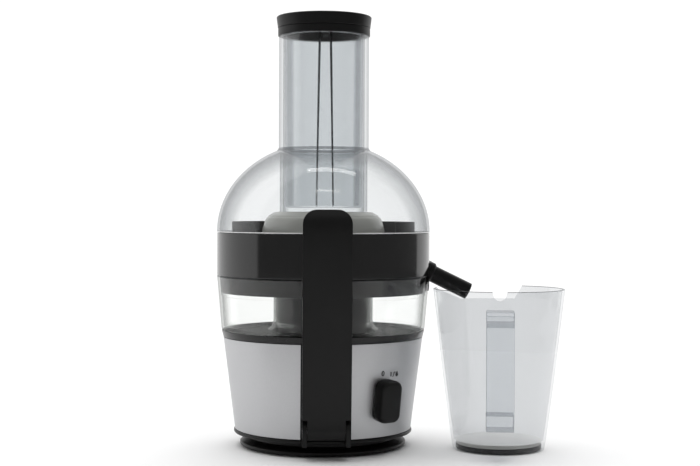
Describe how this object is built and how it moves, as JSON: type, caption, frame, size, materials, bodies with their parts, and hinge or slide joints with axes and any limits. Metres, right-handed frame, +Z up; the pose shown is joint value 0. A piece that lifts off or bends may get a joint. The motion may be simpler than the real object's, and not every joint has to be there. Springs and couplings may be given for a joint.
{
  "type": "centrifugal juicer",
  "caption": "Upright centrifugal juicer with a wide feed tube and pusher, smoke clear domed lid, spinning sieve, clear pulp container, steel motor base, locking arm and a clear juice jug.",
  "frame": {"origin": "centre of the juicer's round footprint, at the underside of its base plate, 1.5 mm above the surface that the rubber feet stand on; z = 0 is that surface", "axes": "+Z up, -Y towards the user, on the side of the locking arm and knob, +X towards the spout and the jug"},
  "size_m": [0.3366, 0.23, 0.4195],
  "materials": {
    "satin_black": "satin moulded ABS with a fine texture",
    "gloss_black": "polished moulded plastic",
    "brushed_steel": "brushed round the body",
    "sieve_steel": "fine etched steel mesh",
    "smoke_clear": "clear moulded plastic with a light smoke tint",
    "clear_plastic": "clear moulded plastic",
    "grey_shroud": "translucent grey moulded plastic",
    "rubber": "matt",
    "shaft_steel": "ground steel",
    "laminations": "stacked electrical steel sheets",
    "copper": "enamelled copper wire and copper segments",
    "inner_plastic": "moulded nylon"
  },
  "bodies": {
    "motor_unit": {"base_plate": "satin_black", "rubber_foot_1": "rubber", "rubber_foot_2": "rubber", "rubber_foot_3": "rubber", "rubber_foot_4": "rubber", "housing_screw_1": "shaft_steel", "housing_screw_2": "shaft_steel", "housing_screw_3": "shaft_steel", "housing_screw_4": "shaft_steel", "motor_housing": "satin_black", "steel_band": "brushed_steel", "top_deck": "satin_black", "cord_gland": "rubber", "hinge_pin": "shaft_steel", "motor_bracket": "inner_plastic", "stator": "laminations", "field_coil_left": "copper", "field_coil_right": "copper", "brush_holder_rear": "inner_plastic", "brush_holder_front": "inner_plastic", "lower_bearing": "shaft_steel", "upper_bearing": "shaft_steel", "shaft_seal": "rubber", "safety_switch": "inner_plastic", "rotary_switch": "inner_plastic"},
    "rotor": {"motor_shaft": "shaft_steel", "armature": "laminations", "commutator": "copper", "cooling_fan": "inner_plastic", "drive_coupling": "inner_plastic"},
    "pulp_bin": {"pulp_container": "clear_plastic"},
    "collector": {"juice_collector": "gloss_black"},
    "spout_pipe": {"spout": "satin_black", "spout_seal": "rubber"},
    "sieve": {"sieve_hub": "inner_plastic", "grating_disc": "sieve_steel", "sieve_mesh": "sieve_steel", "sieve_rim": "satin_black"},
    "lid_dome": {"lid": "smoke_clear", "feed_shroud": "grey_shroud"},
    "pusher": {"pusher_body": "smoke_clear", "pusher_cap": "satin_black"},
    "locking_arm": {"arm_cover": "satin_black", "arm_bar": "inner_plastic"},
    "control_knob": {"knob": "satin_black", "knob_spindle": "inner_plastic"},
    "jug": {"jug_body": "clear_plastic", "jug_handle": "clear_plastic", "jug_base_ring": "rubber"}
  },
  "joints": [
    {"name": "rotor_spin", "type": "hinge", "parent": "motor_unit", "child": "rotor", "pos_m": [0, 0, 0.1], "axis": [0, 0, 1], "continuous": true},
    {"name": "container_lift", "type": "slide", "parent": "motor_unit", "child": "pulp_bin", "axis": [0, 0, 1], "range_m": [0, 0.08]},
    {"name": "collector_lift", "type": "slide", "parent": "pulp_bin", "child": "collector", "axis": [0, 0, 1], "range_m": [0, 0.06]},
    {"name": "sieve_spin", "type": "hinge", "parent": "collector", "child": "sieve", "pos_m": [0, 0, 0.19], "axis": [0, 0, 1], "continuous": true},
    {"name": "spout_pull", "type": "slide", "parent": "collector", "child": "spout_pipe", "axis": [0.8988, 0, -0.4384], "range_m": [0, 0.02]},
    {"name": "lid_lift", "type": "slide", "parent": "collector", "child": "lid_dome", "axis": [0, 0, 1], "range_m": [0, 0.08]},
    {"name": "pusher_slide", "type": "slide", "parent": "lid_dome", "child": "pusher", "axis": [0, 0, 1], "range_m": [0, 0.175]},
    {"name": "arm_swing", "type": "hinge", "parent": "motor_unit", "child": "locking_arm", "pos_m": [0, -0.0965, 0.028], "axis": [1, 0, 0], "range_deg": [0, 75]},
    {"name": "knob_turn", "type": "hinge", "parent": "motor_unit", "child": "control_knob", "pos_m": [0.05374, -0.07289, 0.053], "axis": [-0.5886, 0.7983, 0.1275], "range_deg": [0, 35]},
    {"name": "jug_slide", "type": "slide", "parent": "motor_unit", "child": "jug", "axis": [0, -1, 0], "range_m": [0, 0.15]}
  ],
  "couplings": [
    {"joint": "sieve_spin", "follows": "rotor_spin", "ratio": 1}
  ]
}
